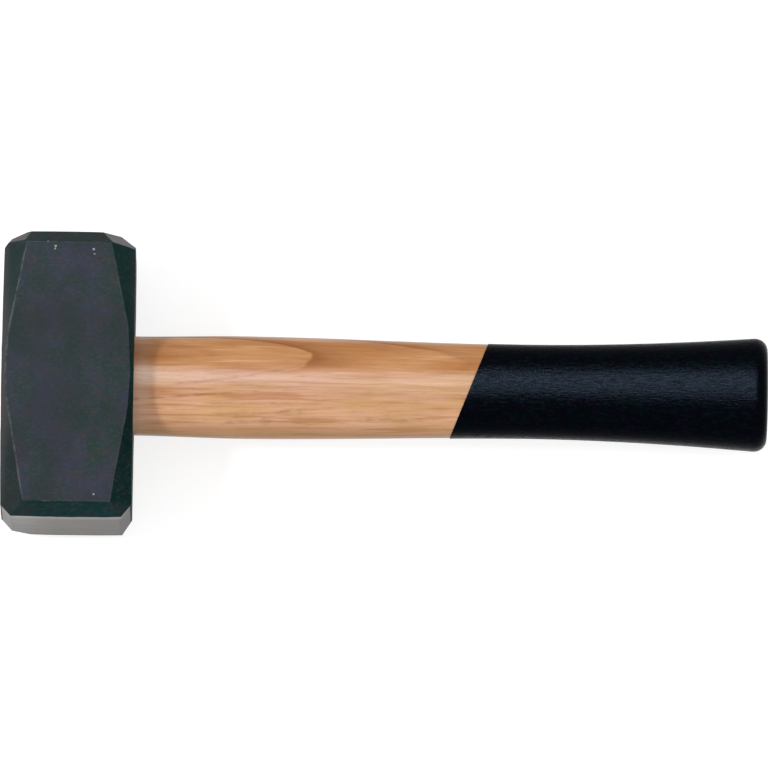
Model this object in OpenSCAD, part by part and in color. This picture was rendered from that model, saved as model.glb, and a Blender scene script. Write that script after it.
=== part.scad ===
// Club hammer: a forged steel head on an oval ash handle with a dipped grip.
// X runs along the handle, Y from striking face to striking face, Z from cheek to cheek.
// The hammer lies on one cheek, and the origin is the centre of that cheek.

/* [Head] */
// Length of the head from one striking face to the other
head_length = 98.8; // [92:0.1:120]
// Width of the head along the handle
head_width = 45.2; // [42:0.1:52]
// Thickness of the head between its two cheeks
head_thickness = 44; // [42:0.1:52]
// Distance from the middle of the head to where its long chamfers run out
chamfer_start = 8; // [4:0.5:14]
// Width that each long chamfer takes off its edge, for each millimetre towards the face
chamfer_slope = 0.218; // [0.1:0.002:0.24]
// Length of the bevels round each striking face
bevel_length = 4.7; // [2:0.1:8]
// Depth of the bevels on the cheek side
cheek_bevel = 4.9; // [2:0.1:7]
// Depth of the bevels on the handle side and on the side opposite
side_bevel = 3.9; // [2:0.1:7]
// Lean of the hand-ground facets on the corners of one striking face, where 0 faces sideways
corner_lean = 1.6; // [1:0.1:2]
// Width of the small break along the edges in the middle of the head
edge_break = 0.5; // [0.1:0.1:1]

/* [Eye] */
// Height of the oval eye at its waist, along the head
eye_height = 31.2; // [26:0.1:32]
// Width of the oval eye at its waist, between the cheeks
eye_width = 22; // [18:0.1:23]
// How far each wall of the eye leans out from the waist to the mouth
eye_flare = 0.8; // [0.2:0.1:1]

/* [Wedges] */
// Length of the wooden wedge
wedge_length = 30; // [20:1:36]
// Thickness of the wooden wedge at its wide end
wedge_thick_end = 4.2; // [2:0.1:5]
// Thickness of the wooden wedge at its tip
wedge_tip = 0.8; // [0.4:0.1:1.2]
// Length of the saw kerf beyond the tip of the wooden wedge
kerf_beyond = 4; // [1:1:5]
// Outer diameter of the steel ring wedge
ring_diameter = 14; // [10:0.5:16]
// Wall of the steel ring wedge at its wide end
ring_wall = 2; // [1:0.1:3]
// Wall of the steel ring wedge at its driven edge
ring_edge = 0.6; // [0.3:0.1:1]
// Length of the steel ring wedge
ring_length = 12; // [8:1:16]

/* [Handle] */
// Distance from the middle of the head to the end of the handle
handle_reach = 237; // [200:1:300]
// Height of the handle where it meets the head
shoulder_height = 33.7; // [33.4:0.1:36]
// Height of the handle at its belly in front of the head
belly_height = 34.9; // [33:0.1:38]
// Distance of the belly from the middle of the head
belly_x = 58; // [40:1:70]
// Height of the handle at the waist of the grip
waist_height = 31.7; // [28:0.1:34]
// Distance of the waist from the middle of the head
waist_x = 156; // [120:1:170]
// Height of the handle at its swelled butt
butt_height = 38.8; // [34:0.1:44]
// Thickness of the handle as a share of its height
flatness = 0.74; // [0.7:0.01:0.85]
// Squareness of the oval section, where 2 is an ellipse
squareness = 2.3; // [2.2:0.05:2.6]
// Radius of the rounded edge at the butt
butt_round = 4.6; // [2:0.1:8]

/* [Grip coating] */
// Distance from the middle of the head to the dip line, on the handle's axis
dip_x = 135.5; // [100:0.5:180]
// Lean of the dip line across the handle, in degrees
dip_lean = 19.1; // [-30:0.1:30]
// Thickness of the dipped lacquer
coating = 0.2; // [0.15:0.05:1]

/* [Hidden] */
$fn = 96;

axis_z = head_thickness / 2;        // height of the handle's axis over the rest cheek
side_x = head_width / 2;            // the head's side, where the handle's end shows
face_y = head_length / 2;           // a striking face
bevel_y = face_y - bevel_length;    // where the bevels round a face begin
swell_power = 1.85;                 // how late the grip swells towards the butt
section_points = 44;                // points round one section of the handle
ring_step = 6;                      // distance between the sections of the handle
round_steps = 5;                    // sections over the rounded edge at the butt
far = 400;                          // size of the blocks that cut whole corners away
overlap = 3;                        // how far a cut or a joined solid runs past a surface

// A smooth step from 0 to 1
function eased(t) = t * t * (3 - 2 * t);

// The value a share t of the way from a to b
function mix(a, b, t) = a + (b - a) * t;

// Half the height of the bare handle at a distance x from the middle of the head
function half_height(x) =
    x < belly_x ? mix(shoulder_height, belly_height, eased((x - side_x) / (belly_x - side_x))) / 2
    : x < waist_x ? mix(belly_height, waist_height, eased((x - belly_x) / (waist_x - belly_x))) / 2
    : mix(waist_height, butt_height, pow((x - waist_x) / (handle_reach - waist_x), swell_power)) / 2;

// A value with its sign kept, raised to the power that squares the oval
function squared(v) = sign(v) * pow(abs(v), 2 / squareness);

// One oval section of the handle at x, drawn in by inset and grown by skin
function section(x, inset, skin) =
    let (h = half_height(min(x, handle_reach)))
    [for (i = [0 : section_points - 1])
        let (a = 360 * i / section_points)
        [x,
         (h - inset + skin) * squared(cos(a)),
         (h * flatness - inset + skin) * squared(sin(a))]];

// The places of the sections as [x, inset], along the handle and over its rounded end
function stations(skin) =
    let (last = handle_reach - butt_round, count = ceil((last - side_x) / ring_step))
    concat(
        [for (i = [0 : count]) [mix(side_x, last, i / count), 0]],
        [for (i = [1 : round_steps])
            let (a = 90 * i / round_steps)
            [last + (butt_round + skin) * sin(a), butt_round * (1 - cos(a))]]);

// The solid of the handle outside the head, grown all round by skin
module handle_form(skin) {
    rings = [for (s = stations(skin)) section(s[0], s[1], skin)];
    n = section_points;
    last = len(rings) - 1;
    points = [for (ring = rings) each ring];
    sides = [for (r = [0 : last - 1], i = [0 : n - 1])
        let (j = (i + 1) % n)
        each [[r * n + i, (r + 1) * n + i, (r + 1) * n + j],
              [r * n + i, (r + 1) * n + j, r * n + j]]];
    front = [for (i = [0 : n - 1]) i];
    back = [for (i = [n - 1 : -1 : 0]) last * n + i];
    translate([0, 0, axis_z]) polyhedron(points, concat([front, back], sides), convexity = 4);
}

// One half of the eye, from its waist to its mouth at x = reach
module eye_half(reach) {
    flare = eye_flare * reach / side_x;
    spread = (eye_height - eye_width) / 2;
    for (side = [-1, 1]) translate([0, side * spread, 0]) rotate([0, 90, 0])
        cylinder(h = reach, r1 = eye_width / 2, r2 = eye_width / 2 + flare);
    translate([0, spread, 0]) rotate([90, 0, 0]) linear_extrude(2 * spread) polygon([
        [0, eye_width / 2], [reach, eye_width / 2 + flare],
        [reach, -eye_width / 2 - flare], [0, -eye_width / 2]]);
}

// The space of the eye, tightest at the middle of the head, and run on past its two mouths
module eye_space(past_end, past_shoulder) {
    translate([0, 0, axis_z]) {
        eye_half(side_x + past_shoulder);
        mirror([1, 0, 0]) eye_half(side_x + past_end);
    }
}

// The wedge-shaped kerf across the tenon, run on by the length of the saw cut past the wedge's tip
module kerf_space(beyond_tip) {
    wide = wedge_thick_end / 2;
    thin = wedge_tip / 2;
    saw_cut = beyond_tip == 0 ? []
        : [[wedge_length + beyond_tip, thin], [wedge_length + beyond_tip, -thin]];
    translate([-side_x, eye_height, axis_z]) rotate([90, 0, 0])
        linear_extrude(2 * eye_height) polygon(concat(
            [[0, -wide], [0, wide], [wedge_length, thin]], saw_cut, [[wedge_length, -thin]]));
}

// The tapered steel ring, with its wide end flush with the side of the head
module ring_shape() {
    middle = (ring_diameter - ring_wall) / 2;
    translate([-side_x, 0, axis_z]) rotate([0, 90, 0]) rotate_extrude() polygon([
        [middle - ring_wall / 2, 0], [middle + ring_wall / 2, 0],
        [middle + ring_edge / 2, ring_length], [middle - ring_edge / 2, ring_length]]);
}

// A block that cuts away everything beyond a plane through point p, facing n
module beyond(p, n) {
    turn = acos(n[2] / norm(n));
    swing = atan2(n[1], n[0]);
    translate(p) rotate([0, turn, swing]) translate([-far / 2, -far / 2, 0]) cube(far);
}

// The long chamfer on one edge of the head, which widens towards the face
module chamfer_cut() {
    beyond([side_x, chamfer_start, axis_z], [1, chamfer_slope, 1]);
    beyond([side_x - edge_break / 2, 0, axis_z - edge_break / 2], [1, 0, 1]);
}

// The bevels on two sides of a striking face
module bevel_cuts() {
    beyond([0, bevel_y, axis_z], [0, cheek_bevel, bevel_length]);
    beyond([side_x, bevel_y, 0], [side_bevel, bevel_length, 0]);
}

// The facet ground on one corner of a striking face, which starts at the end of the chamfer
module corner_cut() {
    leg = chamfer_slope * (bevel_y - chamfer_start);
    beyond([side_x - leg / 2, bevel_y, axis_z - leg / 2], [1, corner_lean, 1]);
}

// The block of the head about its own centre
module head_block() {
    difference() {
        cube([head_width, head_length, head_thickness], center = true);
        for (x = [0, 1], y = [0, 1], z = [0, 1])
            mirror([x, 0, 0]) mirror([0, y, 0]) mirror([0, 0, z]) {
                chamfer_cut();
                bevel_cuts();
                if (y == 0) corner_cut();
            }
    }
}

module head() {
    color([0.24, 0.26, 0.28]) difference() {
        translate([0, 0, axis_z]) head_block();
        eye_space(overlap, overlap);
    }
}

module handle() {
    color([0.80, 0.62, 0.45]) difference() {
        union() {
            handle_form(0);
            eye_space(0, overlap);
        }
        kerf_space(kerf_beyond);
        ring_shape();
    }
}

module wooden_wedge() {
    color([0.72, 0.52, 0.34]) difference() {
        intersection() {
            kerf_space(0);
            eye_space(0, 0);
        }
        ring_shape();
    }
}

module ring_wedge() {
    color([0.62, 0.62, 0.62]) ring_shape();
}

module grip_coating() {
    color([0.05, 0.06, 0.08]) difference() {
        handle_form(coating);
        handle_form(0);
        translate([dip_x, 0, 0]) rotate([0, 0, -dip_lean])
            translate([-far, -far / 2, -far / 2]) cube([far, far, far]);
    }
}

head();
handle();
wooden_wedge();
ring_wedge();
grip_coating();
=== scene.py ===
import math

import bmesh
import bpy
from mathutils import Matrix, Quaternion, Vector, noise


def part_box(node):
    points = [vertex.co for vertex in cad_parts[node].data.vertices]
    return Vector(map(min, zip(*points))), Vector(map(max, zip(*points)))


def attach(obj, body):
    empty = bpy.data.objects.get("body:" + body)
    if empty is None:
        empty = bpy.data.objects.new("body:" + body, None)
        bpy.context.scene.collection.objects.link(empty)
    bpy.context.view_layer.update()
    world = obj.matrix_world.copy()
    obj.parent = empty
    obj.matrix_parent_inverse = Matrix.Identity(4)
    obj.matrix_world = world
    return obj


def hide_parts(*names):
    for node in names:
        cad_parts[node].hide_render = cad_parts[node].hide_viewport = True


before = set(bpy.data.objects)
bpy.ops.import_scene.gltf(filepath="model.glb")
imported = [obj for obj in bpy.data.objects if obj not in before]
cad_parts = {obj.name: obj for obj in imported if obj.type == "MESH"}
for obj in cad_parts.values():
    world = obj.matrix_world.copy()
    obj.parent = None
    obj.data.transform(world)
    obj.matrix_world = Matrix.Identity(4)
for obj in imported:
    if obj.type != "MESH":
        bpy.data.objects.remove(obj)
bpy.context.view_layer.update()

# The shapes are worked out in millimetres, in the frame of the part: X along the handle, Y from face to
# face, Z up from the cheek that the hammer lies on. MM turns them into Blender's metres at the end.
MM = 0.001

# Head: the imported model's block, and how the real forging departs from it by a few tenths
HEAD_LOW, HEAD_HIGH = (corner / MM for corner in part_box("head"))
FRONT, BACK = 1, -1                            # the ends with the striking faces, at +Y and at -Y
INNER, OUTER = 1, -1                           # the sides: the handle's, and the one with the wedges
UPPER, LOWER = 1, -1                           # the cheeks: the one in the photograph, and its twin
SIDE_X = {INNER: HEAD_HIGH.x - 0.5, OUTER: -HEAD_LOW.x - 0.3}  # how far each lies from the middle
FACE_Y = HEAD_HIGH.y                           # how far the faces lie from the forging's middle
AXIS_Z = HEAD_HIGH.z / 2                       # height of the handle's axis, in the middle of the head
HEAD_SHIFT = 0.5                               # how far the forging's middle lies in front of the eye
FRONT_TURN, FRONT_PIVOT_X = 0.012, -12.0       # slope of the front face, and the X that it turns about
BARREL = {INNER: 0.05, OUTER: 0.3}             # how far a side swells at the eye
CROWN = 0.3                                    # how far a striking face falls away at its edges
EDGE_ROUND, EDGE_ANGLE = 0.45, 9.0             # rounding of the edges, and the least turn in degrees of one
FORGE_STEP = 1.3                               # size of the cells in which the forging is bent
WAVES = [(0.07, 17.0), (0.05, 7.0)]            # height and length of the waves that the hammer left
CHAMFER_WAVES = [(0.20, 6.0), (0.12, 2.8)]     # and of those on the chamfers alone
CHAMFER_LEAN, LEAN_RANGE = 0.72, 0.25          # how upright a chamfer's normal is, and how far that varies

# The long chamfers: where each runs out, and the width that it gains for each millimetre from there.
# A shallow one blends each pair in the middle: its width there, and the width that it gains.
CHAMFERS = {(FRONT, INNER): (6.2, 0.2095), (FRONT, OUTER): (3.0, 0.182),
            (BACK, INNER): (1.0, 0.166), (BACK, OUTER): (-1.0, 0.170)}
BLENDS = {INNER: (1.05, 0.064), OUTER: (1.15, 0.052)}

# Bevels round the faces. Those of the cheeks start at BEVEL_Y, and each row of SIDE_BEVELS begins with its
# end, its side, and X and Y of a point on it. How far a bevel faces outwards is set against 1 endwards.
BEVEL_Y = FACE_Y - 4.7
CHEEK_OUTWARD = 0.96
SIDE_BEVELS = [(FRONT, INNER, 20.2, 46.7, 0.9),
               (FRONT, OUTER, 16.9, 48.4, 0.42),
               (FRONT, OUTER, 21.0, 45.5, 1.45),
               (BACK, INNER, 18.8, 49.3, 1.55),
               (BACK, OUTER, 18.65, 49.4, 1.26)]

# Facets ground on the corners by hand: a point on each, and the way that it faces
GROUND_CORNERS = [((14.2, 44.8, 22.0), (1.25, 1.93, 1.0)),
                  ((14.2, 44.8, -22.0), (1.25, 1.93, -1.0)),
                  ((-15.1, 44.9, 22.0), (-1.0, 1.51, 1.0)),
                  ((-15.1, 44.9, -22.0), (-1.0, 1.51, -1.0)),
                  ((-12.5, -49.35, -17.1), (-1.0, -1.2, -1.0))]

# Nicks in the lacquer of the upper cheek, as X, Y and radius
NICKS = [(-4.9, 43.2, 0.42), (-5.1, 42.3, 0.3), (6.9, 45.6, 0.4), (8.0, 42.3, 0.45),
         (8.3, 40.6, 0.35), (-7.5, 44.9, 0.3), (9.4, -42.3, 0.42)]

# Eye and wedges
EYE_HEIGHT, EYE_WIDTH, EYE_FLARE = 31.2, 22.0, 0.8
EYE_SPREAD = (EYE_HEIGHT - EYE_WIDTH) / 2      # how far each of the eye's two arcs lies from its middle
LIP = 0.9                                      # rounding of the eye's mouths
TENON_X = HEAD_LOW.x + 0.1                     # the tenon's sawn end, just inside the eye
WEDGE_LENGTH, WEDGE_END, WEDGE_TIP = 30.0, 4.2, 0.8
RING_RADIUS, RING_WALL, RING_EDGE, RING_LENGTH = 7.0, 2.0, 0.6, 12.0
RING_STEPS = 72                                # flats round the ring wedge

# Handle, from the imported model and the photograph's outline
HANDLE_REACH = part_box("handle")[1].x / MM
SHOULDER_X = SIDE_X[INNER] - 0.2               # where the handle widens, just inside the head's side
BELLY_X, WAIST_X = 58.0, 156.0
SHOULDER_HEIGHT, BELLY_HEIGHT, WAIST_HEIGHT, BUTT_HEIGHT = 33.7, 34.9, 31.7, 38.8
SWELL_POWER, FLATNESS, SQUARENESS = 1.85, 0.74, 2.3
BUTT_ROUND, BUTT_DOME = 4.6, 0.35
OVAL_POINTS = 96                               # points round every section of the handle and the eye

# Grip: the lacquer's thickness, and the plane that it was dipped to, which leans 21 degrees
COATING = 0.2
DIP_X = 136.0
DIP_AWAY = Vector((-math.cos(math.radians(21)), math.sin(math.radians(21)), 0.055)).normalized()

# Wood figure: Y and Z of the pith from the handle's axis, the arch that one growth ring makes, and the
# width and taper of the rings
PITH = (-6.0, -31.0)
ARCH_X, ARCH_RADIUS = 83.0, 45.0
GROWTH_WIDTH, GROWTH_TAPER, FINE_GROWTH_WIDTH = 3.0, 0.048, 1.9

# Single dark grain lines: X at both ends, Y at the first, slope, bend, half width and strength
GRAIN_LINES = [(18.0, 62.0, -7.2, 0.077, 0.0, 0.85, 0.50),
               (34.0, 81.0, -1.6, 0.064, 0.0022, 0.90, 0.36),
               (66.0, 93.0, -10.5, 0.064, 0.0, 0.95, 0.45),
               (44.0, 80.0, -7.9, 0.010, 0.0, 0.75, 0.32),
               (46.0, 84.0, -11.5, 0.020, 0.0, 0.80, 0.34),
               (50.0, 84.0, -13.8, 0.012, 0.0, 0.90, 0.42),
               (96.0, 124.0, -12.6, 0.020, 0.0, 0.90, 0.40)]

# Camera: the photograph's frame, in pixels and in the millimetres that one pixel spans
PICTURE_SIDE = 768
PIXEL = 0.3397
PICTURE_CENTRE = Vector((107.03, 1.97, AXIS_Z))
CAMERA_ELEVATION, CAMERA_ROLL = math.radians(79.0), math.radians(0.86)
CAMERA_DISTANCE, SENSOR_WIDTH = 6000.0, 36.0


def unit(*parts):
    return Vector(parts).normalized()


def mix(a, b, share):
    return a + (b - a) * share


def eased(share):
    return share * share * (3 - 2 * share)


def chamfer_planes():
    """A point and a normal of each long chamfer, and of the shallow one that blends it in the middle."""
    planes = []
    for (y, x), (start, slope) in CHAMFERS.items():
        width, gain = BLENDS[x]
        for z in (UPPER, LOWER):
            planes.append((Vector((x * SIDE_X[x], y * start, z * AXIS_Z)), unit(x, y * slope, z)))
            planes.append((Vector((x * (SIDE_X[x] - width), 0, z * AXIS_Z)), unit(x, y * gain, z)))
    return planes


def cheek_bevel_planes():
    return [(Vector((0, y * BEVEL_Y, z * AXIS_Z)), unit(0, y, z * CHEEK_OUTWARD))
            for y in (FRONT, BACK) for z in (UPPER, LOWER)]


def upper_slopes():
    """The chamfers and the bevel planes between the upper cheek and what surrounds it."""
    return [plane for plane in chamfer_planes() + cheek_bevel_planes() if plane[1].z > 0]


def ground_planes():
    """A point and a normal of each surface that is ground bare: faces, side bevels and corner facets."""
    planes = [(Vector((FRONT_PIVOT_X, FACE_Y, 0)), unit(-FRONT_TURN, 1, 0)),
              (Vector((0, -FACE_Y, 0)), Vector((0, -1, 0)))]
    for y, x, at_x, at_y, outward in SIDE_BEVELS:
        planes.append((Vector((x * at_x, y * at_y, 0)), unit(x * outward, y, 0)))
    return planes + [(Vector(point), unit(*normal)) for point, normal in GROUND_CORNERS]


def cut_plane(form, point, normal, clear=False):
    """Cuts every face along a plane. With clear, what lies beyond it goes, and a face closes the cut."""
    cut = bmesh.ops.bisect_plane(
        form, geom=form.verts[:] + form.edges[:] + form.faces[:],
        dist=1e-4, plane_co=point, plane_no=normal, clear_outer=clear)
    if clear:
        edges = [e for e in cut["geom_cut"] if isinstance(e, bmesh.types.BMEdge)]
        bmesh.ops.holes_fill(form, edges=edges, sides=0)


def grid_cuts(form, step):
    """Cuts a convex form into cells of about step along each axis, so that it can be bent smoothly."""
    for axis in range(3):
        low = min(v.co[axis] for v in form.verts)
        high = max(v.co[axis] for v in form.verts)
        count = math.ceil((high - low) / step)
        normal = Vector([float(i == axis) for i in range(3)])
        for i in range(1, count):
            cut_plane(form, normal * mix(low, high, i / count), normal)


def loft(rings, closed=False):
    """A form through rings of points. Its ends are closed with fans, or joined with each other."""
    form = bmesh.new()
    rows = [[form.verts.new(p) for p in ring] for ring in rings]
    count = len(rows[0])
    pairs = list(zip(rows, rows[1:]))
    if closed:
        pairs.append((rows[-1], rows[0]))
    for a, b in pairs:
        for i in range(count):
            j = (i + 1) % count
            form.faces.new((a[i], b[i], b[j], a[j]))
    if not closed:
        for row in (rows[0], rows[-1]):
            middle = form.verts.new(sum((v.co for v in row), Vector()) / count)
            for i in range(count):
                form.faces.new((row[i], row[(i + 1) % count], middle))
    return form


def lathe_x(profile, steps):
    """A form turned about the eye's axis from a closed profile of (x, radius) points."""
    turns = [2 * math.pi * i / steps for i in range(steps)]
    return loft([[Vector((x, r * math.cos(t), AXIS_Z + r * math.sin(t))) for x, r in profile]
                 for t in turns], closed=True)


def make_object(name, form, material):
    """Turns a form in millimetres into a smooth-shaded object."""
    bmesh.ops.recalc_face_normals(form, faces=form.faces)
    form.transform(Matrix.Scale(MM, 4))
    for face in form.faces:
        face.smooth = True
    mesh = bpy.data.meshes.new(name)
    form.to_mesh(mesh)
    form.free()
    mesh.materials.append(material)
    made = bpy.data.objects.new(name, mesh)
    bpy.context.scene.collection.objects.link(made)
    return made


def make_piece(name, form, material, node):
    """Makes a piece that rides on the hammer, in the place of a node, with the material given."""
    piece = make_object(name, form, material)
    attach(piece, "root")
    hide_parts(node)
    return piece


def apply_modifiers(piece):
    graph = bpy.context.evaluated_depsgraph_get()
    changed = bpy.data.meshes.new_from_object(piece.evaluated_get(graph))
    piece.modifiers.clear()
    piece.data = changed


def subtract(piece, *cutters):
    """Cuts the cutters out of the piece."""
    for cutter in cutters:
        modifier = piece.modifiers.new("cut", "BOOLEAN")
        modifier.operation = "DIFFERENCE"
        modifier.solver = "EXACT"
        modifier.object = cutter
    apply_modifiers(piece)


def mend_cuts(piece):
    """Takes out what a cut left without size, and marks its edges as sharp."""
    smallest, sharpest = 0.001 * MM, math.radians(40)
    form = bmesh.new()
    form.from_mesh(piece.data)
    bmesh.ops.remove_doubles(form, verts=form.verts, dist=smallest)
    bmesh.ops.triangulate(form, faces=[f for f in form.faces if len(f.verts) > 4])
    bmesh.ops.dissolve_degenerate(form, edges=form.edges, dist=smallest)
    for edge in form.edges:
        edge.smooth = edge.calc_face_angle(0) < sharpest
    form.to_mesh(piece.data)
    form.free()


def flat_shading(piece):
    """Keeps wide faces looking flat between their rounded edges."""
    modifier = piece.modifiers.new("normals", "WEIGHTED_NORMAL")
    modifier.weight = 100
    modifier.keep_sharp = True


def waves(place, sizes):
    """The height at a place of waves given by their heights and lengths."""
    return sum(height * noise.noise(place / length) for height, length in sizes)


def forge(form):
    """Barrels the sides, crowns the striking faces, and adds the slight waves of hammer work."""
    form.normal_update()
    for v in form.verts:
        x, y, z = v.co
        side = INNER if x > 0 else OUTER
        across = abs(x) / SIDE_X[side]
        near_eye = max(0.0, 1 - (y / BEVEL_Y) ** 2)
        end = max(0.0, (abs(y) - BEVEL_Y) / (FACE_Y - BEVEL_Y))
        on_chamfer = max(0.0, 1 - abs(abs(v.normal.z) - CHAMFER_LEAN) / LEAN_RANGE)
        wave = waves(v.co, WAVES) + on_chamfer * waves(v.co, CHAMFER_WAVES)
        moved = v.normal * wave * (1 - end)
        moved.x += side * BARREL[side] * near_eye * across ** 3
        moved.y -= math.copysign(CROWN * end * (across ** 2 + (z / AXIS_Z) ** 2), y)
        v.co += moved


def forging_block():
    """The head without its eye, about its own middle: planes, rounded edges, then the forge's marks."""
    form = bmesh.new()
    bmesh.ops.create_cube(form, size=1)
    form.transform(Matrix.Diagonal((SIDE_X[INNER] + SIDE_X[OUTER], 2 * FACE_Y, 2 * AXIS_Z, 1)))
    form.transform(Matrix.Translation(((SIDE_X[INNER] - SIDE_X[OUTER]) / 2, 0, 0)))
    for point, normal in chamfer_planes() + cheek_bevel_planes() + ground_planes():
        cut_plane(form, point, normal, clear=True)
    bmesh.ops.recalc_face_normals(form, faces=form.faces)
    sharp = [e for e in form.edges if e.calc_face_angle(0) > math.radians(EDGE_ANGLE)]
    bmesh.ops.bevel(form, geom=sharp, offset=EDGE_ROUND, segments=3, profile=0.5,
                    affect="EDGES", clamp_overlap=True)
    bmesh.ops.recalc_face_normals(form, faces=form.faces)
    grid_cuts(form, FORGE_STEP)
    forge(form)
    return form


def eye_radius(x):
    """Radius of the eye's two arcs, which grows from its middle to its mouths."""
    return EYE_WIDTH / 2 + EYE_FLARE * abs(x) / HEAD_HIGH.x


def eye_section(x, grow):
    """The eye's oval at x, grown all round: two arcs joined by nearly straight sides."""
    straightness = 5
    radius = eye_radius(x) + grow
    turns = [2 * math.pi * i / OVAL_POINTS for i in range(OVAL_POINTS)]
    apart = [EYE_SPREAD * max(-1.0, min(1.0, straightness * math.cos(t))) for t in turns]
    return [Vector((x, radius * math.cos(t) + shift, AXIS_Z + radius * math.sin(t)))
            for t, shift in zip(turns, apart)]


def eye_cutter(material):
    """What the eye takes out of the forging, with a rounded lip at each mouth."""
    mouth, past, steps = HEAD_HIGH.x, 1.0, 6
    stations = [(-mouth - past, LIP)]
    for i in range(steps + 1):
        turn = math.pi / 2 * i / steps
        stations.append((-mouth + LIP * (1 - math.cos(turn)), LIP * (1 - math.sin(turn))))
    eye = [eye_section(x, grow) for x, grow in stations]
    eye.append(eye_section(0, 0))
    eye += [eye_section(-x, grow) for x, grow in reversed(stations)]
    return make_object("eye_cutter", loft(eye), material)


def make_head(material):
    form = forging_block()
    form.transform(Matrix.Translation((0, HEAD_SHIFT, AXIS_Z)))
    head = make_piece("head_forging", form, material, "head")
    cutter = eye_cutter(material)
    subtract(head, cutter)
    bpy.data.objects.remove(cutter)
    flat_shading(head)


def half_height(x):
    """Half the height of the bare handle at x."""
    if x < BELLY_X:
        share = max(0.0, (x - HEAD_HIGH.x) / (BELLY_X - HEAD_HIGH.x))
        return mix(SHOULDER_HEIGHT, BELLY_HEIGHT, eased(share)) / 2
    if x < WAIST_X:
        return mix(BELLY_HEIGHT, WAIST_HEIGHT, eased((x - BELLY_X) / (WAIST_X - BELLY_X))) / 2
    share = min(1.0, (x - WAIST_X) / (HANDLE_REACH - WAIST_X))
    return mix(WAIST_HEIGHT, BUTT_HEIGHT, share ** SWELL_POWER) / 2


def oval(x, high, thick):
    """A squared oval of half height high and half thickness thick, at x."""
    def squared(v):
        return math.copysign(abs(v) ** (2 / SQUARENESS), v)
    turns = [2 * math.pi * i / OVAL_POINTS for i in range(OVAL_POINTS)]
    return [Vector((x, high * squared(math.cos(t)), AXIS_Z + thick * squared(math.sin(t)))) for t in turns]


def handle_rings(start, grow):
    """Sections of the handle from start to the domed butt, grown all round."""
    step, round_steps, dome_steps = 3.0, 8, 5
    last = HANDLE_REACH - BUTT_ROUND
    count = math.ceil((last - start) / step)
    rings = []
    for i in range(count + 1):
        x = mix(start, last, i / count)
        high = half_height(x)
        rings.append(oval(x, high + grow, high * FLATNESS + grow))
    for i in range(1, round_steps + 1):
        turn = math.pi / 2 * i / round_steps
        x = last + BUTT_ROUND * math.sin(turn)
        high = half_height(x)
        inset = BUTT_ROUND * (1 - math.cos(turn)) - grow
        rings.append(oval(x + grow * math.sin(turn), high - inset, high * FLATNESS - inset))
    high, inset = half_height(HANDLE_REACH), BUTT_ROUND - grow
    for i in range(1, dome_steps):
        share = 1 - i / dome_steps
        x = HANDLE_REACH + grow + BUTT_DOME * (1 - share ** 2)
        rings.append(oval(x, (high - inset) * share, (high * FLATNESS - inset) * share))
    return rings


def tenon_rings():
    """Sections of the tenon, from its sawn end with its broken edge to just inside the head's side."""
    slack, edge_width, edge_depth, shoulder_width = 0.03, 0.15, 0.2, 0.2
    stations = (TENON_X + edge_width, -15.0, -8.0, 0.0, 8.0, 15.0, SHOULDER_X - shoulder_width)
    return [eye_section(TENON_X, -edge_depth)] + [eye_section(x, -slack) for x in stations]


def wedge_form():
    """The wooden wedge as it sits in the kerf, a little proud of the tenon's end."""
    proud, edge, slack, steps = 0.05, 0.12, 0.05, 24
    top_x, tip_x = TENON_X - proud, TENON_X + WEDGE_LENGTH
    rings = []
    for x, inset in ((top_x, edge), (top_x + edge, 0.0), (0.0, 0.0), (tip_x, 0.0)):
        share = max(0.0, (x - TENON_X) / WEDGE_LENGTH)
        thick = mix(WEDGE_END, WEDGE_TIP, share) / 2 - inset
        reach = EYE_SPREAD + math.sqrt((eye_radius(x) - slack) ** 2 - thick ** 2) - inset
        above = [(mix(-reach, reach, i / steps), thick) for i in range(steps + 1)]
        below = [(-y, -z) for y, z in above]
        rings.append([Vector((x, y, AXIS_Z + z)) for y, z in above + below])
    return loft(rings)


def ring_profile():
    """The ring wedge's section: a rounded rim a little proud of the tenon's end, and a driven edge."""
    proud, soft = 0.2, 0.25
    rim, driven = TENON_X - proud, TENON_X - proud + RING_LENGTH
    middle, wide, thin = RING_RADIUS - RING_WALL / 2, RING_WALL / 2, RING_EDGE / 2
    return [(rim, middle - wide + soft), (rim, middle + wide - soft), (rim + soft, middle + wide),
            (driven, middle + thin), (driven, middle - thin), (rim + soft, middle - wide)]


def make_handle(wood, wedge_wood, steel):
    form = loft(tenon_rings() + handle_rings(SHOULDER_X, 0.0))
    handle = make_piece("ash_handle", form, wood, "handle")
    wedge = make_piece("driven_wedge", wedge_form(), wedge_wood, "wooden_wedge")
    form = lathe_x(ring_profile(), RING_STEPS)
    ring = make_piece("driven_ring", form, steel, "ring_wedge")
    subtract(handle, wedge, ring)
    subtract(wedge, ring)
    for piece in (handle, wedge):
        mend_cuts(piece)
    for piece in (handle, wedge, ring):
        flat_shading(piece)


def make_grip(material):
    """The dipped layer: the handle's skin beyond the slanted dip line, thickened inwards to the wood."""
    spare_length, share_of_gap = 25.0, 0.98
    form = loft(handle_rings(DIP_X - spare_length, COATING))
    line = Vector((DIP_X, 0, AXIS_Z))
    cut_plane(form, line, DIP_AWAY)
    bare = [f for f in form.faces if (f.calc_center_median() - line).dot(DIP_AWAY) > 0]
    bmesh.ops.delete(form, geom=bare, context="FACES")
    grip = make_piece("dipped_grip", form, material, "grip_coating")
    skin = grip.modifiers.new("skin", "SOLIDIFY")
    skin.thickness = COATING * MM * share_of_gap
    skin.offset = -1
    apply_modifiers(grip)
    flat_shading(grip)


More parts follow.
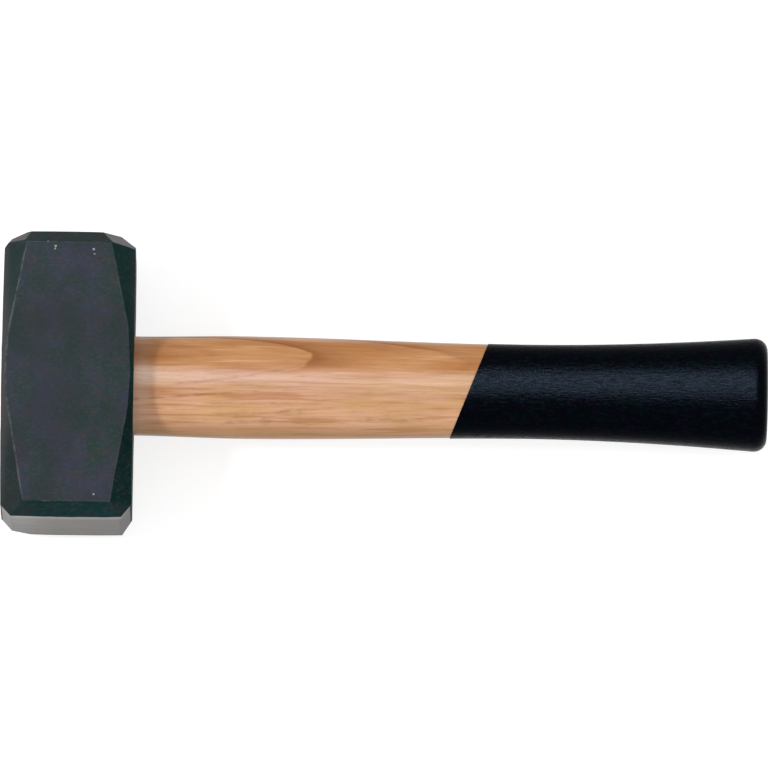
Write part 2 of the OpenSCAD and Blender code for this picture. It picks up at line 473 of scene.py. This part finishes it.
class Paint:
    """One material, with short calls that add a node and join it up. Lengths in it are millimetres."""

    def __init__(self, name, centre_y=0.0):
        self.material = bpy.data.materials.new(name)
        self.material.use_nodes = True
        self.nodes = self.material.node_tree.nodes
        self.links = self.material.node_tree.links
        self.surface = self.nodes["Principled BSDF"]
        metres = self.add("ShaderNodeTexCoord").outputs["Object"]
        self.place = self.vector("MULTIPLY", metres, (1 / MM,) * 3)
        self.place = self.vector("SUBTRACT", self.place, (0, centre_y, AXIS_Z))
        self.facing = self.add("ShaderNodeTexCoord").outputs["Normal"]

    def add(self, kind, **settings):
        """Adds a node with its settings."""
        node = self.nodes.new(kind)
        for key, value in settings.items():
            setattr(node, key, value)
        return node

    def put(self, socket, value):
        """Joins a socket to another node's, or sets it to a number or colour."""
        if isinstance(value, bpy.types.NodeSocket):
            self.links.new(value, socket)
        else:
            socket.default_value = value

    def math(self, operation, *values):
        """The number that an operation on numbers gives."""
        node = self.add("ShaderNodeMath", operation=operation)
        for socket, value in zip(node.inputs, values):
            self.put(socket, value)
        return node.outputs[0]

    def join(self, operation, first, *others):
        """One number from several, which the operation takes in one after the other."""
        for other in others:
            first = self.math(operation, first, other)
        return first

    def vector(self, operation, *values):
        """The vector or number that an operation on vectors gives."""
        node = self.add("ShaderNodeVectorMath", operation=operation)
        for socket, value in zip(node.inputs, values):
            self.put(socket, value)
        return node.outputs["Value" if operation in ("DOT_PRODUCT", "LENGTH", "DISTANCE") else "Vector"]

    def axis(self, name, vector=None):
        """X, Y or Z of a vector, or else of the place."""
        node = self.add("ShaderNodeSeparateXYZ")
        self.put(node.inputs[0], vector or self.place)
        return node.outputs[name]

    def noise(self, size, detail=2.0, roughness=0.5, distortion=0.0):
        """Noise from 0 to 1 whose blobs measure size, one number or one for each axis."""
        sizes = size if isinstance(size, tuple) else (size,) * 3
        node = self.add("ShaderNodeTexNoise")
        self.put(node.inputs["Vector"], self.vector("MULTIPLY", self.place, tuple(1 / s for s in sizes)))
        node.inputs["Scale"].default_value = 1.0
        node.inputs["Detail"].default_value = detail
        node.inputs["Roughness"].default_value = roughness
        node.inputs["Distortion"].default_value = distortion
        return node.outputs["Fac"]

    def rise(self, value, low, high, bottom=0.0, top=1.0):
        """Goes smoothly from bottom to top as value goes from low to high."""
        node = self.add("ShaderNodeMapRange", interpolation_type="SMOOTHSTEP")
        for socket, given in zip(node.inputs, (value, low, high, bottom, top)):
            self.put(socket, given)
        return node.outputs[0]

    def blend(self, share, a, b):
        """Colour a turned towards colour b by share."""
        node = self.add("ShaderNodeMix", data_type="RGBA")
        colours = [s for s in node.inputs if s.type == "RGBA"]
        self.put(node.inputs[0], share)
        for socket, value in zip(colours, (a, b)):
            self.put(socket, value if isinstance(value, bpy.types.NodeSocket) else (*value, 1.0))
        return [s for s in node.outputs if s.type == "RGBA"][0]

    def blend_values(self, share, a, b):
        """Value a turned towards value b by share."""
        node = self.add("ShaderNodeMix", data_type="FLOAT")
        for socket, given in zip([s for s in node.inputs if s.type == "VALUE"], (share, a, b)):
            self.put(socket, given)
        return [s for s in node.outputs if s.type == "VALUE"][0]

    def over(self, colour, tone, value, low, high, most=1.0):
        """Colour turned towards tone, by up to most, as value goes from low to high."""
        return self.blend(self.rise(value, low, high, 0.0, most), colour, tone)

    def folded(self):
        """The place, with the lower half of the object folded up onto the upper half."""
        node = self.add("ShaderNodeCombineXYZ")
        height = self.math("ABSOLUTE", self.axis("Z"))
        for name, value in zip("XYZ", (self.axis("X"), self.axis("Y"), height)):
            self.put(node.inputs[name], value)
        return node.outputs[0]

    def depth(self, planes):
        """How far a place lies beyond the outermost of some upper planes, less than 0 inside them all."""
        place = self.folded()
        beyond = [self.math("SUBTRACT", self.vector("DOT_PRODUCT", place, tuple(normal)), point.dot(normal))
                  for point, normal in planes]
        return self.join("MAXIMUM", *beyond)

    def bump(self, *heights):
        """Raises the surface by heights, each a pair of a 0 to 1 value and the depth it stands for."""
        normal = None
        for height, depth in heights:
            node = self.add("ShaderNodeBump")
            node.inputs["Distance"].default_value = depth * MM
            self.put(node.inputs["Height"], height)
            if normal:
                self.put(node.inputs["Normal"], normal)
            normal = node.outputs[0]
        self.put(self.surface.inputs["Normal"], normal)

    def finish(self, **values):
        """Sets the surface's sockets, each named with _ for its spaces, and gives the material."""
        for name, value in values.items():
            self.put(self.surface.inputs[name.replace("_", " ")], value)
        return self.material


class SteelPaint(Paint):
    """Dark lacquer over forged steel, ground bare on the striking faces and the bevels beside them.

    Places are measured from the middle of the forging, and aside and along are how far they lie from it,
    across the head and towards its faces. The tilt is 1 on a level surface and 0 on an upright one."""

    def __init__(self, name):
        super().__init__(name, centre_y=HEAD_SHIFT)
        self.x, self.y, self.z = (self.axis(letter) for letter in "XYZ")
        self.aside, self.along = (self.math("ABSOLUTE", value) for value in (self.x, self.y))
        self.tilt = self.math("ABSOLUTE", self.axis("Z", self.facing))
        self.beyond_cheek = self.depth([(Vector((0, 0, AXIS_Z)), Vector((0, 0, 1)))])
        self.beyond_slopes = self.depth(upper_slopes())
        self.clouds = self.noise((12.0, 17.0, 12.0), detail=4.0, roughness=0.6)
        self.shades = self.noise((19.0, 24.0, 19.0), detail=3.0, roughness=0.6)
        self.hues = self.noise((5.0, 3.0, 5.0), detail=4.0, roughness=0.6, distortion=0.4)
        self.specks = self.noise((1.4, 0.9, 1.1), detail=3.0, roughness=0.65)

    def bareness(self):
        """1 where the steel is bare, up to a wavy line a little inside the edges of what was ground."""
        ragged = self.rise(self.noise(8.0, detail=1.0, roughness=0.3), 0.40, 0.70)
        reach = self.rise(self.y, -10.0, 10.0, 0.6, 0.3)
        upper = self.math("MAXIMUM", self.beyond_slopes, self.beyond_cheek)
        upper = self.math("MULTIPLY_ADD", ragged, reach, upper)
        sides = [(Vector((x * SIDE_X[x], 0, 0)), Vector((x, 0, 0))) for x in (INNER, OUTER)]
        beside = self.math("ADD", self.depth(sides), 0.12)
        inside = self.rise(self.math("MAXIMUM", upper, beside), -0.42, -0.30, 1.0, 0.0)
        upright = self.rise(self.tilt, 0.57, 0.66, 1.0, 0.0)
        return self.join("MULTIPLY", inside, upright, self.rise(self.along, 39.0, 41.0))

    def slate(self):
        """The lacquer of the cheeks: dull green and violet clouds, with brown, pale and dark in them, paler
        than the chamfers partly from scuffing and partly as a painted reflection of the light above.
        """
        green, violet, brown = (0.014, 0.036, 0.031), (0.034, 0.037, 0.065), (0.042, 0.034, 0.038)
        pale, dark = (0.052, 0.060, 0.066), (0.014, 0.020, 0.021)
        colour = self.over(green, violet, self.clouds, 0.36, 0.64)
        colour = self.over(colour, brown, self.hues, 0.45, 0.72, 0.75)
        colour = self.over(colour, pale, self.specks, 0.45, 0.75, 0.65)
        return self.over(colour, dark, self.shades, 0.62, 0.38, 0.40)

    def chamfer_green(self):
        """The lacquer of the chamfers: darker and greener than the cheeks'."""
        green, grey = (0.0001, 0.0270, 0.0250), (0.0100, 0.0180, 0.0195)
        pale, dark = (0.024, 0.054, 0.054), (0.0002, 0.0090, 0.0090)
        colour = self.over(green, grey, self.hues, 0.38, 0.64)
        colour = self.over(colour, pale, self.specks, 0.46, 0.72, 0.75)
        return self.over(colour, dark, self.shades, 0.62, 0.38, 0.65)

    def chamfers(self):
        """The chamfers, with painted light: lighter and greyer towards the front and towards their outer
        edges, and paler on the outer side.
        """
        green, grey, painted_outer_light_tone = (0.010, 0.040, 0.036), (0.050, 0.050, 0.056), (0.060, 0.056, 0.058)
        outward = self.rise(self.aside, 19.5, 22.6)
        # Painted light: the tone that the chamfers turn to towards the front, greyer towards their outer
        # edges.
        painted_light_tone = self.blend(outward, green, grey)
        colour = self.over(self.chamfer_green(), painted_light_tone, self.y, -20.0, 30.0, 0.40)
        # Painted light from the outer side: the chamfers there are painted paler.
        painted_outer_light = self.join("MULTIPLY", self.rise(self.x, -8.0, -18.0),
                           self.blend_values(outward, 0.28, 0.82), self.rise(self.tilt, 0.30, 0.55))
        return self.blend(painted_outer_light, colour, painted_outer_light_tone)

    def bevel(self, green, brown, pale, speckled):
        """The lacquer of a cheek's bevel, with pale specks as strong as speckled says."""
        colour = self.over(green, brown, self.hues, 0.34, 0.70)
        return self.over(colour, pale, self.specks, 0.46, 0.72, speckled)

    def upright_sides(self):
        """The lacquer of the head's two sides: near black, with specks."""
        green, violet = (0.010, 0.021, 0.022), (0.026, 0.027, 0.033)
        pale, brown = (0.038, 0.046, 0.048), (0.030, 0.025, 0.026)
        colour = self.over(green, violet, self.clouds, 0.36, 0.64)
        colour = self.over(colour, pale, self.specks, 0.45, 0.72, 0.7)
        return self.over(colour, brown, self.hues, 0.48, 0.72, 0.6)

    def slopes(self):
        """The lacquer of all but the cheeks, with a painted highlight on the outer chamfer's middle and a
        dull back end.
        """
        painted_highlight_grey, dull_grey = (0.088, 0.084, 0.086), (0.026, 0.027, 0.029)
        # Painted light from the front: the front bevel is lighter and greyer than the back one.
        painted_lit_front_bevel = self.bevel((0.028, 0.040, 0.040), (0.048, 0.040, 0.043), (0.055, 0.060, 0.062), 0.5)
        painted_shaded_back_bevel = self.bevel((0.006, 0.038, 0.037), (0.026, 0.036, 0.038), (0.040, 0.058, 0.060), 0.6)
        colour = self.over(self.chamfers(), painted_lit_front_bevel, self.y, 43.5, 46.0, 0.7)
        colour = self.over(colour, painted_shaded_back_bevel, self.y, -43.0, -46.0, 0.7)
        colour = self.over(colour, self.upright_sides(), self.tilt, 0.60, 0.25, 0.8)
        # Painted highlight: the middle of the outer chamfer is painted paler.
        pale = self.join("MULTIPLY", self.rise(self.along, 32.0, 10.0, 0.0, 0.45),
                         self.rise(self.x, -12.0, -18.0), self.rise(self.tilt, 0.40, 0.62))
        colour = self.blend(pale, colour, painted_highlight_grey)
        dull = self.rise(self.y, -34.0, -44.0, 0.0, 0.50)
        dull = self.math("MULTIPLY", dull, self.rise(self.x, -12.0, -19.0))
        return self.blend(dull, colour, dull_grey)

    def wear_and_edge_highlight(self):
        """How strong the pale line along the cheeks' edges is, broken and strongest on the outer side:
        partly wear, partly a painted highlight.
        """
        edge = self.rise(self.math("MINIMUM", self.beyond_cheek, self.beyond_slopes), -0.30, -0.05)
        broken = self.rise(self.noise(4.0, detail=4.0, roughness=0.75), 0.42, 0.60, 0.1, 1.0)
        inner = self.rise(self.along, 8.0, 24.0, 0.05, 0.22)
        sides = self.blend_values(self.rise(self.x, -12.0, 12.0), 0.58, inner)
        return self.join("MULTIPLY", broken, edge, sides, self.rise(self.along, 43.6, 44.4, 1.0, 0.55))

    def nicks(self):
        """Ragged spots on the upper cheek, where the lacquer is off."""
        ragged = self.noise(0.8)
        spots = []
        for x, y, radius in NICKS:
            off = self.vector("DISTANCE", self.place, (x, y, AXIS_Z))
            off = self.math("MULTIPLY_ADD", ragged, radius, off)
            spots.append(self.rise(off, radius, radius * 1.6, 1.0, 0.0))
        return self.join("MAXIMUM", *spots)

    def lacquer(self):
        """Slate cheeks, partly a painted reflection, green round them, pale edges from wear and a painted
        highlight, and nicks.
        """
        wear_and_highlight_tone, bright = (0.125, 0.140, 0.145), (0.34, 0.35, 0.35)
        # Level faces take the paler slate: partly scuffed lacquer, partly a painted reflection of the light
        # above.
        colour = self.over(self.slopes(), self.slate(), self.tilt, 0.86, 0.985)
        # Pale edge line: partly wear, partly a painted highlight where the edges would catch the light.
        colour = self.blend(self.wear_and_edge_highlight(), colour, wear_and_highlight_tone)
        return self.blend(self.nicks(), colour, bright)

    def back_steel(self):
        """The back face and its bevels: warm and cool patches, with painted light at the outer side and at
        the top, and painted shade on the inner side and low down.
        """
        warm, cool, bright = (0.224, 0.193, 0.178), (0.188, 0.190, 0.176), (0.305, 0.290, 0.276)
        inner, lower, painted_underside_shade = (0.130, 0.122, 0.125), (0.130, 0.122, 0.118), (0.090, 0.085, 0.085)
        painted_lit_outer_bevel, painted_shaded_inner_bevel = (0.213, 0.207, 0.202), (0.090, 0.083, 0.090)
        top = (0.400, 0.390, 0.380)
        colour = self.over(warm, cool, self.noise((7.0, 9.0, 7.0)), 0.36, 0.64)
        # Painted light and shade: the outer side and outer bevel lighter, the inner side and inner bevel
        # darker, darker low down and lighter at the top.
        colour = self.over(colour, bright, self.x, -1.0, -17.0, 0.85)
        colour = self.over(colour, inner, self.x, 0.0, 17.0, 0.28)
        colour = self.over(colour, lower, self.z, 14.0, -8.0, 0.42)
        colour = self.over(colour, painted_lit_outer_bevel, self.x, -17.6, -19.0, 0.9)
        colour = self.over(colour, painted_shaded_inner_bevel, self.x, 17.6, 19.0, 0.9)
        colour = self.over(colour, painted_underside_shade, self.z, -9.0, -17.0, 0.30)
        return self.over(colour, top, self.z, 11.0, 16.0, 0.55)

    def front_steel(self):
        """The front face, a little darker on the inner side, and the darker facets on its corners, all with
        painted shade that makes the front darker than the back.
        """
        # Painted shade: the front steel is darker than the back, and darker again on the inner side.
        face = self.over((0.125, 0.121, 0.121), (0.100, 0.090, 0.095), self.x, -12.0, 12.0)
        facet = self.over((0.065, 0.064, 0.068), (0.070, 0.065, 0.069), self.x, -12.0, 12.0)
        return self.over(face, facet, self.tilt, 0.25, 0.42)

    def grinding(self):
        """Fine marks of the grinding: level on the faces, and upright on the bevels beside them."""
        level = self.noise((22.0, 3.0, 1.5), detail=4.0, roughness=0.6)
        upright = self.noise((0.5, 0.5, 14.0), detail=4.0, roughness=0.65)
        return self.blend_values(self.rise(self.aside, 16.0, 18.6), level, upright)


def steel_paint(name):
    """The head's paint, with its lacquer, its bare steel and its forge scale put together."""
    mark_grey = (0.090, 0.085, 0.085)
    paint = SteelPaint(name)
    bare, grinding = paint.bareness(), paint.grinding()
    steel = paint.over(paint.back_steel(), paint.front_steel(), paint.y, -10.0, 10.0)
    steel = paint.over(steel, mark_grey, grinding, 0.35, 0.7, 0.32)
    scale = paint.noise(2.6, detail=6.0, roughness=0.65)
    paint.bump((scale, 0.10), (paint.specks, 0.03), (grinding, 0.012))
    return paint.finish(
        Base_Color=paint.blend(bare, paint.lacquer(), steel), Metallic=bare,
        Roughness=paint.rise(bare, 0.0, 1.0, 0.55, 0.42),
        Specular_IOR_Level=0.031, Specular_Tint=(0.75, 0.75, 0.75, 1.0))


def ring_depth(paint, x, y):
    """Depth in the growth rings: how far from the pith, less the taper that makes them end in arches."""
    pith = paint.vector("SUBTRACT", paint.place, (0, *PITH))
    radius = paint.vector("LENGTH", paint.vector("MULTIPLY", pith, (0, 1, 1)))
    taper = paint.rise(y, 0.5, 5.5, 0.004, GROWTH_TAPER)
    run = paint.math("MULTIPLY", paint.math("SUBTRACT", x, ARCH_X), taper)
    wander = paint.math("SUBTRACT", paint.noise((40.0, 9.0, 9.0), detail=3.0), 0.5)
    depth = paint.math("SUBTRACT", paint.math("SUBTRACT", radius, ARCH_RADIUS), run)
    return paint.math("MULTIPLY_ADD", wander, 1.2, depth)


def wide_rings(paint, x, y, depth):
    """The late wood of the wide rings, towards the front of the handle, and its dark outer edge."""
    ring = paint.math("FRACT", paint.math("DIVIDE", depth, GROWTH_WIDTH))
    edge = paint.rise(x, 92.0, 112.0, 0.97, 0.90)
    ended = paint.rise(ring, edge, 1.0, 1.0, 0.0)
    late = paint.join("MULTIPLY", paint.rise(ring, 0.45, edge), ended,
                      paint.rise(y, 2.0, 7.0, 0.10, 0.72), paint.rise(x, 88.0, 132.0, 1.0, 0.50))
    dark = paint.join("MULTIPLY", paint.rise(ring, paint.math("SUBTRACT", edge, 0.11), edge), ended,
                      paint.rise(y, 3.0, 8.0, 0.0, 0.45), paint.rise(x, 118.0, 132.0, 1.0, 0.1))
    return late, dark


def fine_rings(paint, y, depth):
    """Thin dark lines between finer rings, towards the back, each of its own strength. They come and go."""
    fine = paint.math("DIVIDE", depth, FINE_GROWTH_WIDTH)
    ring = paint.math("FRACT", fine)
    chance = paint.add("ShaderNodeTexWhiteNoise", noise_dimensions="1D")
    paint.put(chance.inputs["W"], paint.math("FLOOR", fine))
    strength = paint.rise(chance.outputs["Value"], 0.1, 1.0, 0.15, 0.9)
    fading = paint.rise(paint.noise((16.0, 3.0, 3.0)), 0.38, 0.60)
    return paint.join("MULTIPLY", paint.rise(ring, 0.78, 0.94), paint.rise(ring, 0.94, 1.0, 1.0, 0.0),
                      strength, fading, paint.rise(y, -1.0, 6.0, 1.0, 0.3))


def grain_lines(paint, x, y):
    """The single dark lines on the upper half of the handle, which waver and are broken here and there."""
    waver = paint.math("MULTIPLY_ADD", paint.noise((9.0, 3.0, 9.0), detail=3.0), 1.2, -0.6)
    breaks = paint.noise((4.0, 2.0, 4.0), detail=3.0)
    upper = paint.rise(paint.axis("Z"), 0.0, 3.0)
    lines = []
    for start, end, first_y, slope, bend, width, strength in GRAIN_LINES:
        run = paint.math("SUBTRACT", x, start)
        climb = paint.math("MULTIPLY", run, paint.math("MULTIPLY_ADD", run, bend, slope))
        off = paint.math("SUBTRACT", paint.math("SUBTRACT", y, first_y), climb)
        off = paint.math("ABSOLUTE", paint.math("ADD", off, waver))
        length = end - start
        lines.append(paint.join(
            "MULTIPLY", paint.rise(off, width, 0.05), paint.rise(breaks, 0.40, 0.60, 0.2, strength),
            paint.rise(run, 0.0, 5.0), paint.rise(run, length - 7.0, length, 1.0, 0.0), upper))
    return lines


def wood_body(paint, x, y):
    """The wood between its rings: cloudy and streaked, warm in front and paler behind, with painted sheen
    along the middle, painted rim light and shade, and painted bounce light by the head.
    """
    dark_streak, light_streak = (0.46, 0.180, 0.072), (0.82, 0.500, 0.290)
    painted_rim_sheen, painted_rim_shade = (0.70, 0.450, 0.300), (0.50, 0.270, 0.125)
    painted_sheen_tone, painted_light_tone = (0.74, 0.48, 0.37), (0.88, 0.58, 0.45)
    cloudy = paint.rise(paint.noise((30.0, 6.0, 6.0)), 0.35, 0.65)
    pale = paint.blend(cloudy, (0.71, 0.385, 0.245), (0.63, 0.350, 0.160))
    light = paint.blend(cloudy, (0.80, 0.450, 0.280), (0.71, 0.405, 0.195))
    warm = paint.blend(cloudy, (0.63, 0.310, 0.135), (0.55, 0.235, 0.080))
    uneven = paint.math("MULTIPLY_ADD", paint.noise((22.0, 3.5, 9.0), detail=3.0), 5.0, y)
    uneven = paint.math("SUBTRACT", uneven, 2.5)
    # Paler towards the back: partly paler wood, partly painted fill light on the lower flank.
    body = paint.over(pale, light, y, -4.0, -10.0)
    body = paint.over(body, warm, uneven, 0.0, 4.8)
    streaks = paint.noise((34.0, 1.9, 1.9), detail=3.0)
    body = paint.over(body, dark_streak, streaks, 0.51, 0.66, 0.55)
    body = paint.over(body, light_streak, streaks, 0.47, 0.33, 0.42)
    # Painted rim light and shade: the front rim is painted paler, like a grazing reflection, and the back
    # rim darker.
    body = paint.over(body, painted_rim_sheen, y, 13.0, 16.5, 0.6)
    body = paint.over(body, painted_rim_shade, y, -13.0, -16.5, 0.6)
    # Painted sheen: a paler, pinker stripe along the middle of the upper side, towards the head end.
    sheen = paint.rise(paint.math("ABSOLUTE", paint.math("SUBTRACT", uneven, 0.6)), 1.0, 3.5, 0.32, 0.0)
    sheen = paint.math("MULTIPLY", sheen, paint.rise(x, 60.0, 110.0, 1.0, 0.0))
    body = paint.blend(sheen, body, painted_sheen_tone)
    # Painted bounce light: the upper side next to the head is lightened, as light thrown back by the head
    # would.
    painted_bounce_light = paint.rise(x, 30.0, 24.0, 0.0, 0.45)
    painted_bounce_light = paint.math("MULTIPLY", painted_bounce_light, paint.rise(paint.axis("Z"), 0.0, 6.0))
    return paint.blend(painted_bounce_light, body, painted_light_tone)


def wood_paint(name):
    """Ash under clear lacquer: growth rings about a pith below the handle, pores and fibres along it."""
    late_brown, edge_brown, line_brown = (0.36, 0.135, 0.042), (0.28, 0.100, 0.034), (0.28, 0.100, 0.042)
    fibre_brown, pore_brown = (0.36, 0.150, 0.060), (0.24, 0.090, 0.030)
    paint = Paint(name)
    x, y = paint.axis("X"), paint.axis("Y")
    depth = ring_depth(paint, x, y)
    late, dark = wide_rings(paint, x, y, depth)
    lines = paint.join("MAXIMUM", fine_rings(paint, y, depth), *grain_lines(paint, x, y))
    fibres = paint.noise((26.0, 0.6, 0.6), detail=3.0, roughness=0.6)
    pores = paint.noise((5.0, 0.3, 0.3))
    colour = paint.blend(late, wood_body(paint, x, y), late_brown)
    colour = paint.blend(dark, colour, edge_brown)
    colour = paint.blend(lines, colour, line_brown)
    colour = paint.over(colour, fibre_brown, fibres, 0.42, 0.72, 0.22)
    colour = paint.over(colour, pore_brown, pores, 0.60, 0.72, 0.30)
    paint.bump((fibres, 0.05), (pores, 0.02))
    return paint.finish(Base_Color=colour, Roughness=0.24, Specular_IOR_Level=0.052)


def wedge_paint(name):
    """End grain of the hardwood wedge, bruised by the hammer that drove it."""
    dark, pale, bruised = (0.24, 0.12, 0.055), (0.45, 0.26, 0.13), (0.10, 0.055, 0.03)
    paint = Paint(name)
    grain = paint.noise((30.0, 0.9, 0.4), detail=4.0)
    bruises = paint.noise(2.0, detail=3.0)
    colour = paint.blend(grain, dark, pale)
    colour = paint.over(colour, bruised, bruises, 0.5, 0.7, 0.5)
    paint.bump((bruises, 0.2), (grain, 0.05))
    return paint.finish(Base_Color=colour, Roughness=0.7)


def ring_paint(name):
    """Bright steel with fine turning marks."""
    paint = Paint(name)
    turned = paint.noise((0.3, 2.5, 2.5), detail=3.0)
    colour = paint.blend(turned, (0.22, 0.215, 0.21), (0.32, 0.315, 0.31))
    paint.bump((turned, 0.02))
    return paint.finish(Base_Color=colour, Metallic=1.0, Roughness=0.45)


def lacquer_paint(name):
    """Blue-black dipped lacquer, with the pores of the wood still showing in it, blots and grit, and
    painted light on the butt end.
    """
    green_black, violet_black = (0.0001, 0.0014, 0.0012), (0.0013, 0.0002, 0.0024)
    blot_blue, grit_blue = (0.0016, 0.0036, 0.0080), (0.0034, 0.0060, 0.0110)
    painted_butt_light = (0.0036, 0.0052, 0.0082)
    paint = Paint(name)
    pores = paint.noise((4.0, 0.5, 0.5), detail=3.0, roughness=0.65)
    ripples = paint.noise((9.0, 2.5, 2.5))
    grit = paint.noise((1.5, 0.7, 0.7), detail=3.0, roughness=0.7)
    tints = paint.noise((6.0, 4.0, 4.0), detail=3.0, roughness=0.6)
    blots = paint.noise((2.6, 1.3, 1.3), roughness=0.6)
    dull = paint.noise((3.2, 0.7, 0.7), roughness=0.6)
    colour = paint.over(green_black, violet_black, tints, 0.40, 0.62)
    colour = paint.over(colour, blot_blue, blots, 0.50, 0.66, 0.6)
    colour = paint.over(colour, grit_blue, grit, 0.54, 0.72, 0.8)
    # Painted light: the butt end is lightened where it faces along the handle.
    colour = paint.over(colour, painted_butt_light, paint.axis("X", paint.facing), 0.90, 0.99)
    paint.bump((ripples, 0.05), (pores, 0.08), (grit, 0.07))
    return paint.finish(
        Base_Color=colour, Roughness=paint.rise(dull, 0.50, 0.65, 0.21, 0.42),
        Specular_IOR_Level=0.022, Specular_Tint=(0.50, 0.70, 1.0, 1.0))


def seen_by_eye(nodes, links):
    """1 for rays from the camera, from gloss and through glass, and 0 for the rest."""
    path = nodes.new("ShaderNodeLightPath")
    total = path.outputs["Is Camera Ray"]
    for name in ("Is Glossy Ray", "Is Transmission Ray"):
        larger = nodes.new("ShaderNodeMath")
        larger.operation = "MAXIMUM"
        links.new(total, larger.inputs[0])
        links.new(path.outputs[name], larger.inputs[1])
        total = larger.outputs[0]
    return total


def make_world(level):
    """A white room: level is how strongly it lights the object."""
    world = bpy.data.worlds.new("white_room")
    bpy.context.scene.world = world
    world.use_nodes = True
    nodes, links = world.node_tree.nodes, world.node_tree.links
    strength = nodes.new("ShaderNodeMapRange")
    links.new(seen_by_eye(nodes, links), strength.inputs["Value"])
    strength.inputs["To Min"].default_value = level
    strength.inputs["To Max"].default_value = 1.0
    background = nodes["Background"]
    background.inputs["Color"].default_value = (1, 1, 1, 1)
    links.new(strength.outputs[0], background.inputs["Strength"])


def make_floor(size, albedo, glow):
    """A white table, size metres wide, that keeps a soft shadow. Its glow is seen, and lights nothing."""
    bpy.ops.mesh.primitive_plane_add(size=size)
    floor = bpy.context.object
    floor.name = "floor"
    material = bpy.data.materials.new("white_table")
    material.use_nodes = True
    nodes, links = material.node_tree.nodes, material.node_tree.links
    surface = nodes["Principled BSDF"]
    surface.inputs["Base Color"].default_value = (albedo, albedo, albedo, 1)
    surface.inputs["Roughness"].default_value = 1.0
    surface.inputs["Specular IOR Level"].default_value = 0.0
    surface.inputs["Emission Color"].default_value = (1, 1, 1, 1)
    strength = nodes.new("ShaderNodeMath")
    strength.operation = "MULTIPLY"
    links.new(seen_by_eye(nodes, links), strength.inputs[0])
    strength.inputs[1].default_value = glow
    links.new(strength.outputs[0], surface.inputs["Emission Strength"])
    floor.data.materials.append(material)


def softbox(name, place, width, height, radiance, lights):
    """A lamp that faces the hammer and lights either its "colour" or its "gloss", not both.

    Its place and size are in metres. Its width lies across Y, as nearly as it can. Its radiance is how
    bright a mirror would show it, where white is 1."""
    light = bpy.data.lights.new(name, "AREA")
    light.shape = "RECTANGLE"
    light.size, light.size_y = width, height
    light.energy = radiance * math.pi * width * height
    lamp = bpy.data.objects.new(name, light)
    bpy.context.scene.collection.objects.link(lamp)
    away = (Vector(place) - Vector((PICTURE_CENTRE.x * MM, 0, AXIS_Z * MM))).normalized()
    across = Vector((0, 1, 0)).cross(away).normalized()
    lamp.matrix_world = Matrix((across, away.cross(across), away)).transposed().to_4x4()
    lamp.location = place
    lamp.visible_camera = False
    lamp.visible_diffuse = lights == "colour"
    lamp.visible_glossy = lights == "gloss"


def make_camera():
    """The photograph's view: almost straight down on the cheek, leaning towards the back face."""
    data = bpy.data.cameras.new("camera")
    data.sensor_width = SENSOR_WIDTH
    data.lens = SENSOR_WIDTH * CAMERA_DISTANCE / (PICTURE_SIDE * PIXEL)
    data.clip_start, data.clip_end = 0.5, 40.0
    camera = bpy.data.objects.new("camera", data)
    bpy.context.scene.collection.objects.link(camera)
    back = Vector((0, -math.cos(CAMERA_ELEVATION), math.sin(CAMERA_ELEVATION)))
    camera.location = (PICTURE_CENTRE + back * CAMERA_DISTANCE) * MM
    camera.rotation_mode = "QUATERNION"
    level = (-back).to_track_quat("-Z", "Y")
    camera.rotation_quaternion = level @ Quaternion((0, 0, 1), CAMERA_ROLL)
    bpy.context.scene.camera = camera


make_head(steel_paint("lacquered_steel"))
make_handle(wood_paint("lacquered_ash"), wedge_paint("wedge_end_grain"), ring_paint("ring_steel"))
make_grip(lacquer_paint("dipped_lacquer"))

make_world(level=0.74)
make_floor(size=40.0, albedo=0.42, glow=0.77)
softbox("key", place=(-0.52, -0.04, 0.67), width=0.1, height=0.1, radiance=81.0, lights="colour")
softbox("strip", place=(-0.1, 0.298, 0.968), width=1.4, height=0.15, radiance=77.0, lights="gloss")
make_camera()
bpy.context.scene.view_settings.view_transform = "Standard"
